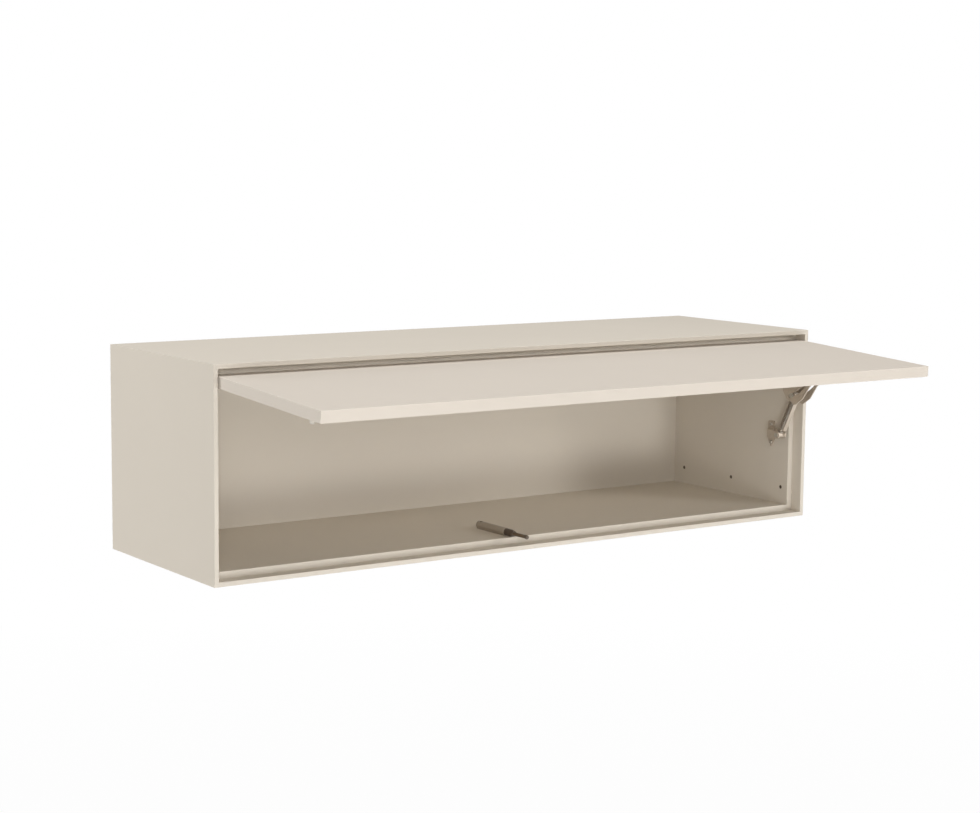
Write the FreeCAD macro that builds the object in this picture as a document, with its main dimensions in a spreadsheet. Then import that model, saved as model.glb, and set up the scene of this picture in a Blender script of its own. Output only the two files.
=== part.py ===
import FreeCAD, Part
import math
import os

import Sketcher
from FreeCAD import Placement, Rotation, Vector

# A wall cabinet with one flap that lifts on three cup hinges and two stays.
# Millimetres. X runs along the width, Y towards the wall, Z up. The origin is on the wall plane,
# under the middle of the bottom panel. The flap is drawn raised, as it stands when in use.

doc = FreeCAD.newDocument("LiftUpWallCabinet")
sheet = doc.addObject("Spreadsheet::Sheet", "Sizes")

SIZES = {
    # casing
    "width": 1200, "height": 338, "depth": 360, "board": 18, "lip": 7.5, "rebate": 24,
    "edge_round": 0.8, "back_board": 8, "back_recess": 12, "groove": 6, "groove_fit": 0.5,
    # flap
    "flap_board": 18, "flap_gap": 1.5, "flap_chamfer": 3, "flap_round": 0.8, "open_angle": 86.5,
    "widest_angle": 90,
    # hinges
    "pin_radius": 1.5, "pin_inset": 5.5, "pin_drop": 15, "hinge_inset": 100, "pin_fit": 0.05,
    "cup_radius": 17.45, "cup_wall": 1.15, "cup_floor": 1, "cup_depth": 16.5, "cup_offset": 7.5,
    "cup_fit": 0.05, "wing_length": 60, "wing_width": 18, "wing_plate": 1.2, "wing_hole": 24,
    "arm_plate": 3.5, "arm_width": 14, "arm_reach": 16.5, "arm_back": 22.5, "knuckle_radius": 2.6,
    "base_length": 50, "base_width": 42, "base_plate": 2.5, "base_hole_pitch": 26, "base_hole_inset": 14,
    # screws
    "screw_radius": 2, "screw_head_radius": 3.6, "screw_head": 2, "screw_length": 12,
    "screw_fit": 0.1,
    # stays
    "stay_inset": 17, "stay_pivot_depth": 29.5, "stay_pivot_drop": 173, "arm_length": 85,
    "arm_open_angle": 116.5, "arm_closed_angle": 90, "channel_width": 12, "channel_depth": 13,
    "channel_wall": 1.5, "channel_lip": 8.5, "channel_end": 12, "boss_radius": 5.5,
    "stay_pin_radius": 2.5, "stay_pin_head": 1.4, "stay_pin_head_radius": 4.2,
    "stay_plate": 2.5, "stay_plate_front": 60, "stay_plate_width": 16, "stay_plate_low": 14,
    "stay_plate_high": 20, "stay_plate_tip": 27, "stay_plate_hole_high": 14, "stay_plate_hole_low": 19,
    "fork_cheek": 2, "fork_gap": 0.5, "fork_radius": 7, "fork_web": 6, "fork_back": 54,
    "fork_block": 14, "fork_nose": 0.4, "spring_radius": 3.6, "spring_wire": 0.8, "spring_pitch": 9,
    "spring_wire_sides": 6,
    "fan_cheek": 2, "fan_gap": 2, "fan_foot": 2, "fan_foot_wing": 6, "fan_foot_end": 112,
    "fan_rear": 3.5, "fan_front": 19, "fan_round": 5, "fan_heel": 7, "fan_toe": 6, "fan_sole": 15,
    "fan_sole_drop": 14, "fan_calf": 33, "fan_knee": 47, "fan_knee_rise": 23, "fan_crest": 12,
    "fan_web": 2, "fan_web_end": 72, "fan_hole_near": 16, "fan_hole_far": 8, "slot_fit": 0.6,
    "roller_play": 0.3,
    # push latch
    "latch_offset": 33, "barrel_radius": 6.5, "barrel_length": 80, "barrel_bore": 4.4,
    "barrel_solid": 16, "barrel_chamfer": 0.6, "keel_half": 4.5, "keel_height": 1.9,
    "collar_length": 22.5, "collar_radius": 6, "collar_nose": 4.6, "collar_spigot": 8,
    "collar_taper": 8, "spigot_fit": 0.05, "rod_radius": 3.1, "rod_fit": 0.1, "rod_out": 33,
    "rod_guide": 8, "rod_guide_radius": 4.3, "rod_guide_gap": 2.2, "tip_length": 5, "tip_radius": 3.4,
    "tip_bevel": 1.5, "tip_face": 2.4, "tip_fit": 0.3,
    "latch_fit": 0.5, "strike_radius": 6, "strike_plate": 1.5, "latch_screw_length": 20,
    "latch_screw_inset": 8, "latch_screw_seat": 4.2,
    # joining screws, bumpers and hangers
    "side_screw_height": 30, "side_screw_front": 42, "side_screw_rear": 28,
    "side_screw_radius": 3.4, "side_screw_length": 10, "bumper_radius": 4, "bumper_gap": 0.3,
    "bumper_inset": 30, "bumper_dome": 1.5, "hanger_width": 20, "hanger_height": 56,
    "hanger_length": 38, "hanger_wall": 3, "hanger_gap": 0.3, "peg_radius": 5, "peg_length": 11,
    "peg_pitch": 32, "adjuster_radius": 4, "adjuster_depth": 2.5, "adjuster_pitch": 26,
    "hook_plate": 3, "hook_width": 14, "hook_drop": 16, "hook_level": 20, "hook_fit": 0.5,
    "hook_wall_gap": 2,
}
for line, (alias, amount) in enumerate(SIZES.items(), start=1):
    sheet.set(f"A{line}", alias)
    sheet.set(f"B{line}", str(amount))
    sheet.setAlias(f"B{line}", alias)
doc.recompute()


class Size:
    """A number together with the sheet expression that gives it."""

    def __init__(self, value, text):
        self.value, self.text = float(value), text

    def mix(self, other, sign, swap=False):
        other = other if isinstance(other, Size) else Size(other, f"{other:g}")
        one, two = (other, self) if swap else (self, other)
        value = {"+": one.value + two.value, "-": one.value - two.value, "*": one.value * two.value,
                 "/": one.value / two.value if two.value else 0}[sign]
        return Size(value, f"({one.text} {sign} {two.text})")

    def __add__(self, other):
        return self.mix(other, "+")

    def __radd__(self, other):
        return self.mix(other, "+", True)

    def __sub__(self, other):
        return self.mix(other, "-")

    def __rsub__(self, other):
        return self.mix(other, "-", True)

    def __mul__(self, other):
        return self.mix(other, "*")

    def __rmul__(self, other):
        return self.mix(other, "*", True)

    def __truediv__(self, other):
        return self.mix(other, "/")

    def __neg__(self):
        return Size(-self.value, f"(-1 * {self.text})")


S = {alias: Size(sheet.get(alias), f"Sizes.{alias}") for alias in SIZES}
ZERO = Size(0, "0")
# two edges or faces nearer than this lie together, and a cut under this volume is none
HAIR, SPECK = 0.01, 0.1
parts = []


def as_size(number):
    return number if isinstance(number, Size) else Size(number, f"{number:g}")


def bind(thing, name, number):
    """Sets a property or a placement member to a size, by its expression."""
    thing.setExpression(name, as_size(number).text)


def keep(thing, name):
    """Names a finished piece and puts it on the list of pieces to write."""
    thing.Label = name
    parts.append(thing)
    return thing


# ---- small vocabulary for bodies and sketches ----


def new_body(name):
    return doc.addObject("PartDesign::Body", name)


def new_sketch(body, role, lift=ZERO):
    sketch = body.newObject("Sketcher::SketchObject", f"{body.Name}_sketch")
    plane = next(face for face in body.Origin.OriginFeatures if face.Role == role)
    sketch.AttachmentSupport = [(plane, "")]
    sketch.MapMode = "FlatFace"
    sketch.AttachmentOffset = Placement(Vector(0, 0, lift.value), Rotation())
    bind(sketch, "AttachmentOffset.Base.z", lift)
    return sketch


def pin_point(sketch, shape, which, x, y):
    """Ties one point of a sketch to the origin by two sizes."""
    for kind, number in (("DistanceX", as_size(x)), ("DistanceY", as_size(y))):
        row = sketch.addConstraint(Sketcher.Constraint(kind, -1, 1, shape, which, number.value))
        sketch.setExpression(f"Constraints[{row}]", number.text)


def add_polygon(sketch, points):
    """A closed outline of straight edges, each corner held by its own two sizes."""
    points = [(as_size(x), as_size(y)) for x, y in points]
    first = sketch.GeometryCount
    count = len(points)
    for here in range(count):
        (x1, y1), (x2, y2) = points[here], points[(here + 1) % count]
        edge = Part.LineSegment(Vector(x1.value, y1.value, 0), Vector(x2.value, y2.value, 0))
        sketch.addGeometry(edge)
    for here in range(count):
        after = first + (here + 1) % count
        sketch.addConstraint(Sketcher.Constraint("Coincident", first + here, 2, after, 1))
    for here, (x, y) in enumerate(points):
        pin_point(sketch, first + here, 1, x, y)


def add_rectangle(sketch, x1, y1, x2, y2):
    add_polygon(sketch, [(x1, y1), (x2, y1), (x2, y2), (x1, y2)])


def add_circle(sketch, x, y, radius):
    x, y, radius = as_size(x), as_size(y), as_size(radius)
    circle = Part.Circle(Vector(x.value, y.value, 0), Vector(0, 0, 1), radius.value)
    shape = sketch.addGeometry(circle)
    pin_point(sketch, shape, 3, x, y)
    row = sketch.addConstraint(Sketcher.Constraint("Radius", shape, radius.value))
    sketch.setExpression(f"Constraints[{row}]", radius.text)


def pad(body, sketch, length, reverse=False, middle=False):
    feature = body.newObject("PartDesign::Pad", f"{body.Name}_pad")
    feature.Profile = sketch
    feature.Reversed = reverse
    if middle:
        feature.SideType = "Symmetric"
    bind(feature, "Length", length)
    return feature


def pocket(body, sketch, length=None, reverse=False):
    """Cuts a sketch into the body, through everything both ways when no length is given."""
    doc.recompute()
    before = body.Shape.Volume
    feature = body.newObject("PartDesign::Pocket", f"{body.Name}_pocket")
    feature.Profile = sketch
    if length is None:
        feature.Type = "ThroughAll"
        feature.SideType = "Symmetric"
    else:
        feature.Reversed = reverse
        bind(feature, "Length", length)
    doc.recompute()
    if before - body.Shape.Volume < SPECK:
        raise RuntimeError(f"a pocket of {body.Name} cuts nothing")
    return feature


def fillet_edges(body, radius, wanted):
    """Rounds the body's edges for which wanted(edge) is true."""
    doc.recompute()
    base = body.Tip
    names = [f"Edge{n}" for n, edge in enumerate(base.Shape.Edges, start=1) if wanted(edge)]
    feature = body.newObject("PartDesign::Fillet", f"{body.Name}_fillet")
    feature.Base = (base, names)
    bind(feature, "Radius", radius)
    return feature


def revolve(body, points):
    """Turns a half outline, given as (radius, height), about the body's Z axis."""
    sketch = new_sketch(body, "XZ_Plane")
    add_polygon(sketch, points)
    feature = body.newObject("PartDesign::Revolution", f"{body.Name}_turned")
    feature.Profile = sketch
    feature.ReferenceAxis = (sketch, ["V_Axis"])
    feature.Angle = 360
    return feature


def place(thing, x, y, z, rotation=Rotation()):
    x, y, z = as_size(x), as_size(y), as_size(z)
    thing.Placement = Placement(Vector(x.value, y.value, z.value), rotation)
    bind(thing, "Placement.Base.x", x)
    bind(thing, "Placement.Base.y", y)
    bind(thing, "Placement.Base.z", z)
    return thing


def group(name, members):
    """Like pieces that share one node, each a separate solid."""
    compound = doc.addObject("Part::Compound", name)
    compound.Links = members
    return keep(compound, name)


# ---- places that several pieces share ----

half_width = S["width"] / 2
inner_side = half_width - S["board"]
ceiling = S["height"] - S["board"]
front = -S["depth"]
step = front + S["rebate"]
back_face = -S["back_recess"] - S["back_board"]
lip_and_gap = S["lip"] + S["flap_gap"]
flap_length = S["height"] - lip_and_gap * 2
flap_half = half_width - lip_and_gap
flap_back = S["flap_board"] - S["pin_inset"]
pin_y = front + S["pin_inset"]
pin_z = S["height"] - lip_and_gap - S["pin_drop"]
hinge_x = half_width - S["hinge_inset"]
hinge_spots = {"left": -hinge_x, "centre": ZERO, "right": hinge_x}
sides = {"left": -1, "right": 1}
TURN_UP = Rotation(Vector(-1, 0, 0), S["open_angle"].value)


def on_flap(thing, x=ZERO):
    """The flap's pieces are drawn closed about the hinge pin, then raised with it."""
    place(thing, x, pin_y, pin_z, TURN_UP)
    bind(thing, "Placement.Rotation.Angle", S["open_angle"])
    return thing


# ---- casing: four mitred boards and a back ----


def lipped_section(outer, inward):
    """Section of a casing board: (across, along depth) with its lip, step and groove for the back."""
    across = {name: outer + inward * S[name] for name in ("lip", "board")}
    deep = across["board"] - inward * S["groove"]
    groove_back, groove_front = -S["back_recess"], back_face
    return [(outer, ZERO), (outer, front), (across["lip"], front), (across["lip"], step),
            (across["board"], step), (across["board"], groove_front), (deep, groove_front),
            (deep, groove_back), (across["board"], groove_back), (across["board"], ZERO)]


def front_edge(edge):
    """True on the long front edges of a lip."""
    box = edge.BoundBox
    return abs(box.YMin - front.value) < HAIR and box.YLength < HAIR and edge.Length > S["board"].value


def make_level_board(name, outer, inward):
    """Top or bottom board, its ends mitred where it meets the side boards."""
    board = new_body(name)
    section = new_sketch(board, "YZ_Plane")
    add_polygon(section, [(along, across) for across, along in lipped_section(outer, inward)])
    pad(board, section, S["width"], middle=True)
    fillet_edges(board, S["edge_round"], front_edge)
    mitre = new_sketch(board, "XZ_Plane")
    for side in sides.values():
        corner = side * half_width
        add_polygon(mitre, [(corner, outer), (corner, outer + inward * S["board"]),
                            (corner - side * S["board"], outer + inward * S["board"])])
    pocket(board, mitre)
    return keep(board, name)


def make_side_board(name, side):
    """Side board, its ends mitred, with blind holes for the joining screws."""
    board = new_body(name)
    outer = side * half_width
    section = new_sketch(board, "XY_Plane")
    add_polygon(section, lipped_section(outer, -side))
    pad(board, section, S["height"])
    fillet_edges(board, S["edge_round"], front_edge)
    mitre = new_sketch(board, "XZ_Plane")
    for low, up in ((ZERO, 1), (S["height"], -1)):
        add_polygon(mitre, [(outer, low), (outer - side * S["board"], low),
                            (outer - side * S["board"], low + up * S["board"])])
    pocket(board, mitre)
    holes = new_sketch(board, "YZ_Plane", side * inner_side)
    for along in side_screw_spots:
        add_circle(holes, along, side_screw_z, S["side_screw_radius"] + S["screw_fit"])
    pocket(board, holes, S["side_screw_length"] + S["screw_fit"], reverse=side > 0)
    return board


side_screw_z = S["board"] + S["side_screw_height"]
first_side_screw = front + S["side_screw_front"]
last_side_screw = back_face - S["side_screw_rear"]
side_screw_spots = [first_side_screw, (first_side_screw + last_side_screw) / 2, last_side_screw]

top_panel = make_level_board("top_panel", S["height"], -1)
bottom_panel = make_level_board("bottom_panel", ZERO, 1)
left_panel = keep(make_side_board("left_panel", -1), "left_panel")
right_panel = keep(make_side_board("right_panel", 1), "right_panel")

hanger_top = ceiling - S["hanger_gap"]
hook_z = hanger_top - S["hook_level"]
hanger_centre = inner_side - S["hanger_width"] / 2


def make_back_panel():
    """Back board in the grooves, with a slot for each hanger's hook."""
    board = new_body("back_panel")
    reach = S["groove"] - S["groove_fit"]
    sheet_area = new_sketch(board, "XZ_Plane", S["back_recess"])
    add_rectangle(sheet_area, -inner_side - reach, S["board"] - reach, inner_side + reach,
                  ceiling + reach)
    pad(board, sheet_area, S["back_board"])
    slots = new_sketch(board, "XZ_Plane")
    half = S["hook_width"] / 2 + S["hook_fit"]
    for side in sides.values():
        centre = side * hanger_centre
        add_rectangle(slots, centre - half, hook_z - S["hook_fit"], centre + half,
                      hook_z + S["hook_plate"] + S["hook_fit"])
    pocket(board, slots)
    return keep(board, "back_panel")


make_back_panel()

# ---- screws: one turned form, placed wherever a plate is fixed ----


def make_screw(name, x, y, z, rotation, length=S["screw_length"]):
    """A pan-head screw: its head seats on the face at (x, y, z), its shank points along -Z there."""
    screw = new_body(name)
    shank, head, rise = S["screw_radius"], S["screw_head_radius"], S["screw_head"]
    revolve(screw, [(ZERO, rise), (head * 2 / 3, rise), (head, rise / 2), (head, ZERO),
                    (shank, ZERO), (shank, -length + shank), (ZERO, -length)])
    return place(screw, x, y, z, rotation)


def drill(board, role, lift, spots, depth, reverse, radius=S["screw_radius"] + S["screw_fit"]):
    """Round holes of one size, drilled into a board from one face."""
    holes = new_sketch(board, role, lift)
    for x, y in spots:
        add_circle(holes, x, y, radius)
    pocket(board, holes, depth, reverse=reverse)


POINT_UP = Rotation(Vector(1, 0, 0), 180)
POINT_FORWARD = Rotation(Vector(1, 0, 0), -90)

# ---- hinges: cranked arm on the casing, cup and pin in the flap ----

base_start = S["arm_back"] - S["arm_plate"]
base_hole_rear = base_start + S["base_hole_inset"]
base_holes = [base_hole_rear, base_hole_rear + S["base_hole_pitch"]]


def make_hinge_arm(side, x):
    """Cranked steel arm: knuckle, drop, run under the flap's edge, riser and screw plate."""
    arm = new_body(f"hinge_arm_{side}")
    half = S["arm_plate"] / 2
    rise = ceiling - pin_z
    crank = new_sketch(arm, "YZ_Plane")
    add_polygon(crank, [(-half, ZERO), (half, ZERO), (half, -S["arm_reach"] + S["arm_plate"]),
                        (S["arm_back"] - S["arm_plate"], -S["arm_reach"] + S["arm_plate"]),
                        (S["arm_back"] - S["arm_plate"], rise), (S["arm_back"], rise),
                        (S["arm_back"], -S["arm_reach"]), (-half, -S["arm_reach"])])
    pad(arm, crank, S["arm_width"], middle=True)
    knuckle = new_sketch(arm, "YZ_Plane")
    add_circle(knuckle, ZERO, ZERO, S["knuckle_radius"])
    pad(arm, knuckle, S["arm_width"], middle=True)
    wing = new_sketch(arm, "XY_Plane", rise - S["base_plate"])
    add_rectangle(wing, -S["base_width"] / 2, base_start, S["base_width"] / 2,
                  base_start + S["base_length"])
    pad(arm, wing, S["base_plate"])
    bore = new_sketch(arm, "YZ_Plane")
    add_circle(bore, ZERO, ZERO, S["pin_radius"] + S["pin_fit"])
    pocket(arm, bore)
    drill(arm, "XY_Plane", rise - S["base_plate"], [(ZERO, along) for along in base_holes],
          S["base_plate"], True)
    fillet_edges(arm, S["base_plate"] * 2, lambda edge: corner_of_plate(edge, rise.value))
    place(arm, x, pin_y, pin_z)
    return keep(arm, arm.Name)


def corner_of_plate(edge, top):
    """True on the short upright edges at the corners of a hinge arm's screw plate."""
    box = edge.BoundBox
    upright = box.XLength < HAIR and box.YLength < HAIR and box.ZMax > top - HAIR
    return upright and abs(abs(box.XMin) - S["base_width"].value / 2) < HAIR


def make_hinge_cup(side, x):
    """Pressed cup with two wings, let into the flap's inner face."""
    cup = new_body(f"hinge_cup_{side}")
    centre = -S["cup_offset"]
    disc = new_sketch(cup, "XZ_Plane", -flap_back)
    add_circle(disc, ZERO, centre, S["cup_radius"])
    pad(cup, disc, S["cup_depth"])
    wings = new_sketch(cup, "XZ_Plane", -flap_back)
    add_rectangle(wings, -S["wing_length"] / 2, centre - S["wing_width"] / 2, S["wing_length"] / 2,
                  centre + S["wing_width"] / 2)
    pad(cup, wings, S["wing_plate"])
    hollow = new_sketch(cup, "XZ_Plane", -flap_back)
    add_circle(hollow, ZERO, centre, S["cup_radius"] - S["cup_wall"])
    pocket(cup, hollow, S["cup_depth"] - S["cup_floor"], reverse=True)
    drill(cup, "XZ_Plane", -flap_back, [(way * S["wing_hole"], centre) for way in (-1, 1)],
          S["wing_plate"], True)
    bore = new_sketch(cup, "YZ_Plane")
    add_circle(bore, ZERO, ZERO, S["pin_radius"])
    pocket(cup, bore)
    on_flap(cup, x)
    return keep(cup, cup.Name)


def make_hinge_pin(side, x):
    """Plain steel pin across the cup, its ends in the cup's wall."""
    pin = doc.addObject("Part::Cylinder", f"hinge_pin_{side}")
    middle_of_wall = S["cup_radius"] - S["cup_wall"] / 2
    reach = math.sqrt(middle_of_wall.value ** 2 - S["cup_offset"].value ** 2)
    half = Size(reach, f"sqrt({middle_of_wall.text} ^ 2 - {S['cup_offset'].text} ^ 2)")
    bind(pin, "Radius", S["pin_radius"])
    bind(pin, "Height", half * 2)
    return place(pin, x - half, ZERO, ZERO, Rotation(Vector(0, 1, 0), 90))


for side, x in hinge_spots.items():
    make_hinge_arm(side, x)
    make_hinge_cup(side, x)
on_flap(group("hinge_pins", [make_hinge_pin(side, x) for side, x in hinge_spots.items()]))

base_spots = [(x, pin_y + along) for x in hinge_spots.values() for along in base_holes]
group("hinge_arm_screws", [make_screw("hinge_arm_screw", x, y, ceiling - S["base_plate"], POINT_UP)
                           for x, y in base_spots])
drill(top_panel, "XY_Plane", ceiling, base_spots, S["screw_length"], True)

wing_spots = [(x + way * S["wing_hole"], -S["cup_offset"])
              for x in hinge_spots.values() for way in (-1, 1)]
on_flap(group("hinge_cup_screws", [make_screw("hinge_cup_screw", x, flap_back, z, POINT_FORWARD)
                                   for x, z in wing_spots]))

# ---- stay at the right: fork on the side board, channel arm with a spring, slotted fan on the flap ----

stay_x = inner_side - S["stay_inset"]
pivot_y = front + S["stay_pivot_depth"]
pivot_z = ceiling - S["stay_pivot_drop"]
plate_middle = front + S["stay_plate_front"] + S["stay_plate_width"] / 2
stay_screw_spots = [(plate_middle, pivot_z + S["stay_plate_hole_high"]),
                    (plate_middle, pivot_z - S["stay_plate_hole_low"])]
ARM_TURN = Rotation(Vector(1, 0, 0), (S["arm_open_angle"] - 90).value)


def across(edge, y, z):
    """True on an edge that runs along X at the given place."""
    box = edge.BoundBox
    flat = box.YLength < HAIR and box.ZLength < HAIR
    return flat and abs(box.YMin - as_size(y).value) < HAIR and abs(box.ZMin - as_size(z).value) < HAIR


def make_stay_base():
    """Screw plate with a pointed foot, and a two-cheek fork that holds the arm's pivot pin."""
    base = new_body("stay_base")
    near = front + S["stay_plate_front"]
    far = near + S["stay_plate_width"]
    plate = new_sketch(base, "YZ_Plane", inner_side)
    low, top = pivot_z - S["stay_plate_low"], pivot_z + S["stay_plate_high"]
    add_polygon(plate, [(near, low), (near, top), (far, top), (far, low),
                        (plate_middle, pivot_z - S["stay_plate_tip"])])
    pad(base, plate, S["stay_plate"], reverse=True)
    fillet_edges(base, S["stay_plate"], lambda edge: across(edge, near, top) or across(edge, far, top))
    half = S["channel_width"] / 2 + S["fork_gap"]
    high, deep = pivot_z + S["fork_radius"], pivot_z - S["fork_radius"]
    back = front + S["fork_back"]
    block = new_sketch(base, "YZ_Plane", stay_x + half)
    add_rectangle(block, back - S["fork_web"], deep, back + S["fork_block"], high)
    pad(base, block, S["stay_inset"] - half)
    web = new_sketch(base, "YZ_Plane", stay_x + half)
    add_rectangle(web, back - S["fork_web"], deep, back, high)
    pad(base, web, half * 2, reverse=True)
    for start in (stay_x + half, stay_x - half - S["fork_cheek"]):
        cheek = new_sketch(base, "YZ_Plane", start)
        add_rectangle(cheek, pivot_y - S["fork_radius"], deep, back, high)
        pad(base, cheek, S["fork_cheek"])
    tip = pivot_y - S["fork_radius"]
    fillet_edges(base, S["fork_radius"] - S["fork_nose"],
                 lambda edge: across(edge, tip, deep) or across(edge, tip, high))
    bore = new_sketch(base, "YZ_Plane")
    add_circle(bore, pivot_y, pivot_z, S["stay_pin_radius"])
    pocket(base, bore)
    drill(base, "YZ_Plane", inner_side, stay_screw_spots, S["stay_plate"], False)
    return keep(base, base.Name)


def make_cross_pin(name, half, centre=ZERO):
    """A pin along X with a flat head at each end."""
    pin = new_body(name)
    radius, head, thick = S["stay_pin_radius"], S["stay_pin_head_radius"], S["stay_pin_head"]
    revolve(pin, [(ZERO, -half - thick), (head, -half - thick), (head, -half), (radius, -half),
                  (radius, half), (head, half), (head, half + thick), (ZERO, half + thick)])
    return pin


ALONG_X = Rotation(Vector(0, 1, 0), 90)


def make_stay_arm():
    """Channel arm, open towards the middle of the cabinet, with a boss at each end."""
    arm = new_body("stay_arm")
    half, deep = S["channel_width"] / 2, S["channel_depth"] / 2
    web = new_sketch(arm, "YZ_Plane", half)
    add_rectangle(web, -deep, -deep, deep, S["arm_length"] + deep)
    pad(arm, web, S["channel_wall"], reverse=True)
    fillet_edges(arm, deep - S["fork_nose"], lambda edge: any(
        across(edge, y, z) for y in (-deep, deep) for z in (-deep, S["arm_length"] + deep)))
    for edge_side in (-1, 1):
        flange = new_sketch(arm, "YZ_Plane", half)
        add_rectangle(flange, edge_side * (deep - S["channel_wall"]), S["channel_end"],
                      edge_side * deep, S["arm_length"] - S["channel_end"])
        pad(arm, flange, S["channel_lip"], reverse=True)
    for height in (ZERO, S["arm_length"]):
        boss = new_sketch(arm, "YZ_Plane", half)
        add_circle(boss, ZERO, height, S["boss_radius"])
        pad(arm, boss, S["channel_width"], reverse=True)
    bores = new_sketch(arm, "YZ_Plane")
    for height in (ZERO, S["arm_length"]):
        add_circle(bores, ZERO, height, S["stay_pin_radius"] + S["pin_fit"])
    pocket(arm, bores)
    place(arm, stay_x, pivot_y, pivot_z, ARM_TURN)
    return keep(arm, arm.Name)


def turned_with_arm(height):
    """Where a point of the arm's middle line stands, with the arm raised."""
    turned = ARM_TURN.multVec(Vector(0, 0, height.value))
    angle = S["arm_open_angle"].text
    return (Size(turned.y, f"({height.text} * cos({angle} * 1deg))"),
            Size(turned.z, f"({height.text} * sin({angle} * 1deg))"))


def make_stay_spring():
    """Coil spring lying in the channel, its ends against the two bosses."""
    start, wire = S["boss_radius"].value, S["spring_wire"].value
    wire_sides = int(S["spring_wire_sides"].value)
    length = S["arm_length"].value - 2 * start - 2 * wire
    coil = Part.makeHelix(S["spring_pitch"].value, length, S["spring_radius"].value)
    rim = Part.makePolygon([Vector(S["spring_radius"].value + wire * math.cos(turn), 0,
                                   wire * math.sin(turn))
                            for turn in [2 * math.pi * n / wire_sides for n in range(wire_sides + 1)]])
    spring = doc.addObject("Part::Feature", "stay_spring")
    spring.Shape = Part.Wire(coil).makePipeShell([rim], True, True)
    lift = S["boss_radius"] + S["spring_wire"]
    y, z = turned_with_arm(lift)
    place(spring, stay_x, pivot_y + y, pivot_z + z, ARM_TURN)
    return keep(spring, spring.Name)


def roller_from_flap(closing):
    """Place of the arm's roller in the closed flap's frame, when the flap has closed by an angle."""
    share = closing / S["open_angle"].value
    swing = S["arm_closed_angle"].value - S["arm_open_angle"].value
    angle = math.radians(S["arm_open_angle"].value + swing * share)
    reach = S["arm_length"].value
    spot = Vector(0, pivot_y.value + reach * math.cos(angle), pivot_z.value + reach * math.sin(angle))
    spot = spot - Vector(0, pin_y.value, pin_z.value)
    return Rotation(Vector(1, 0, 0), S["open_angle"].value - closing).multVec(spot)


def rounded_wire(points, radius):
    """Closed outline in the YZ plane through (y, z) points, its corners rounded by tangent arcs."""
    corners = [Vector(0, y, z) for y, z in points]
    edges, last_end = [], None
    count = len(corners)
    for here, corner in enumerate(corners):
        back = (corners[here - 1] - corner).normalize()
        ahead = (corners[(here + 1) % count] - corner).normalize()
        half_turn = back.getAngle(ahead) / 2
        run = radius / math.tan(half_turn)
        start, end = corner + back * run, corner + ahead * run
        inside = (back + ahead).normalize()
        middle = corner + inside * (radius / math.sin(half_turn) - radius)
        if last_end is not None:
            edges.append(Part.makeLine(last_end, start))
        else:
            first_start = start
        edges.append(Part.Arc(start, middle, end).toShape())
        last_end = end
    edges.append(Part.makeLine(last_end, first_start))
    return Part.Wire(edges)


def slot_wire(first, middle, last, half_slot):
    """Outline of a curved slot whose middle line is the arc through three points."""
    centre = Part.Circle(first, middle, last).Center
    out = {name: (spot - centre).normalize() * half_slot
           for name, spot in (("first", first), ("middle", middle), ("last", last))}
    along = Vector(1, 0, 0).cross(out["last"])
    if along.dot(last - middle) < 0:
        along = along * -1
    back = Vector(1, 0, 0).cross(out["first"])
    if back.dot(first - middle) < 0:
        back = back * -1
    return Part.Wire([
        Part.Arc(first + out["first"], middle + out["middle"], last + out["last"]).toShape(),
        Part.Arc(last + out["last"], last + along, last - out["last"]).toShape(),
        Part.Arc(last - out["last"], middle - out["middle"], first - out["first"]).toShape(),
        Part.Arc(first - out["first"], first + back, first + out["first"]).toShape()])


def make_stay_fan():
    """Two slotted cheeks on a foot under the flap, joined by a web along their rear edge."""
    value = {name: size.value for name, size in S.items()}
    tail = roller_from_flap(S["open_angle"].value - S["widest_angle"].value)
    head = roller_from_flap(S["open_angle"].value)
    middle = roller_from_flap(S["open_angle"].value / 2)
    base = flap_back.value
    rear, toe_y, toe_z = value["fan_rear"], tail.y, tail.z
    outline = [(base, rear), (toe_y - value["fan_heel"], rear),
               (toe_y + value["fan_toe"], toe_z + value["fan_heel"]),
               (toe_y + value["fan_sole_drop"], toe_z - value["fan_sole"]),
               (toe_y, toe_z - value["fan_calf"]),
               (toe_y - value["fan_knee_rise"], toe_z - value["fan_knee"]),
               (head.y + value["fan_crest"], head.z - value["fan_crest"]),
               (base, head.z - value["fan_front"])]
    slot = slot_wire(tail, middle, head, value["stay_pin_radius"] + value["slot_fit"])
    profile = Part.Face(rounded_wire(outline, value["fan_round"])).cut(Part.Face(slot)).Faces[0]
    gap = value["channel_width"] / 2 + value["fan_gap"]
    cheek = value["fan_cheek"]
    solids = []
    for start in (gap, -gap - cheek):
        piece = profile.copy()
        piece.translate(Vector(start, 0, 0))
        solids.append(piece.extrude(Vector(cheek, 0, 0)))
    wing = gap + cheek + value["fan_foot_wing"]
    foot_length = value["fan_foot_end"] + rear
    foot = Part.makeBox(2 * wing, value["fan_foot"], foot_length,
                        Vector(-wing, base, -value["fan_foot_end"]))
    web = Part.makeBox(2 * gap, value["fan_web_end"] - base, value["fan_web"],
                       Vector(-gap, base, rear - value["fan_web"]))
    body = solids[0].multiFuse([solids[1], foot, web]).removeSplitter()
    for spot in fan_screw_heights:
        drill_hole = Part.makeCylinder(value["screw_radius"] + value["screw_fit"], value["fan_foot"],
                                       Vector(0, base, spot.value), Vector(0, 1, 0))
        body = body.cut(drill_hole)
    fan = doc.addObject("Part::Feature", "stay_fan")
    fan.Shape = body.Solids[0]
    on_flap(fan, stay_x)
    return keep(fan, fan.Name)


fan_screw_heights = [-S["fan_hole_near"], S["fan_hole_far"] - S["fan_foot_end"]]
fan_screw_spots = [(stay_x, z) for z in fan_screw_heights]

make_stay_base()
make_stay_arm()
make_stay_spring()
make_stay_fan()

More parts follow.
